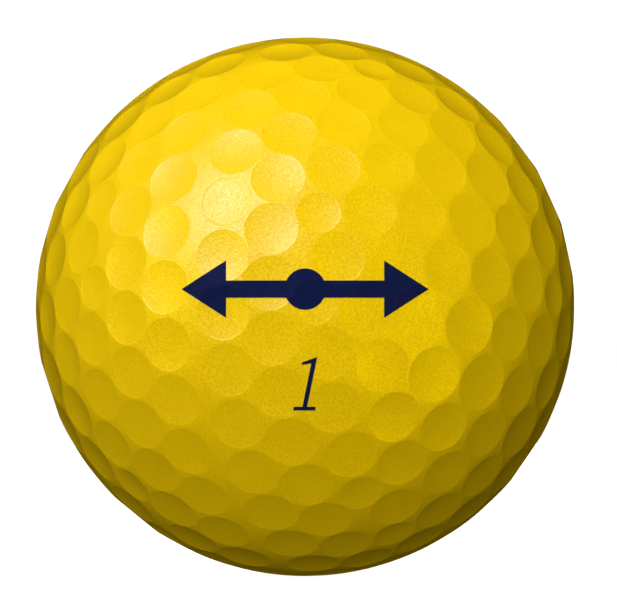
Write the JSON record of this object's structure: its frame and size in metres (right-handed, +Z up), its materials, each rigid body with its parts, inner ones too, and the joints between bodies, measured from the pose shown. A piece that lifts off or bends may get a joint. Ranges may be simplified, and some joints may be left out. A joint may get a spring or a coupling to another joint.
{
  "type": "golf ball",
  "caption": "Dimpled golf ball: a rubber core inside a mantle layer and a satin cover, with printed alignment marks and a play number.",
  "frame": {"origin": "centre of the ball", "axes": "+Z up as the ball is shown, -Y out of the printed face, +X to the right of someone looking at that face"},
  "size_m": [0.0426, 0.0428, 0.0427],
  "materials": {
    "core_rubber": "moulded, matt",
    "mantle_ionomer": "moulded, satin",
    "cover_ionomer": "fine satin clear coat over yellow",
    "navy_ink": "pad-printed ink under satin clear coat"
  },
  "bodies": {
    "root": {"core": "core_rubber", "mantle": "mantle_ionomer", "cover": "cover_ionomer", "front_mark": "navy_ink", "front_number": "navy_ink", "rear_mark": "navy_ink", "rear_number": "navy_ink"}
  },
  "joints": []
}
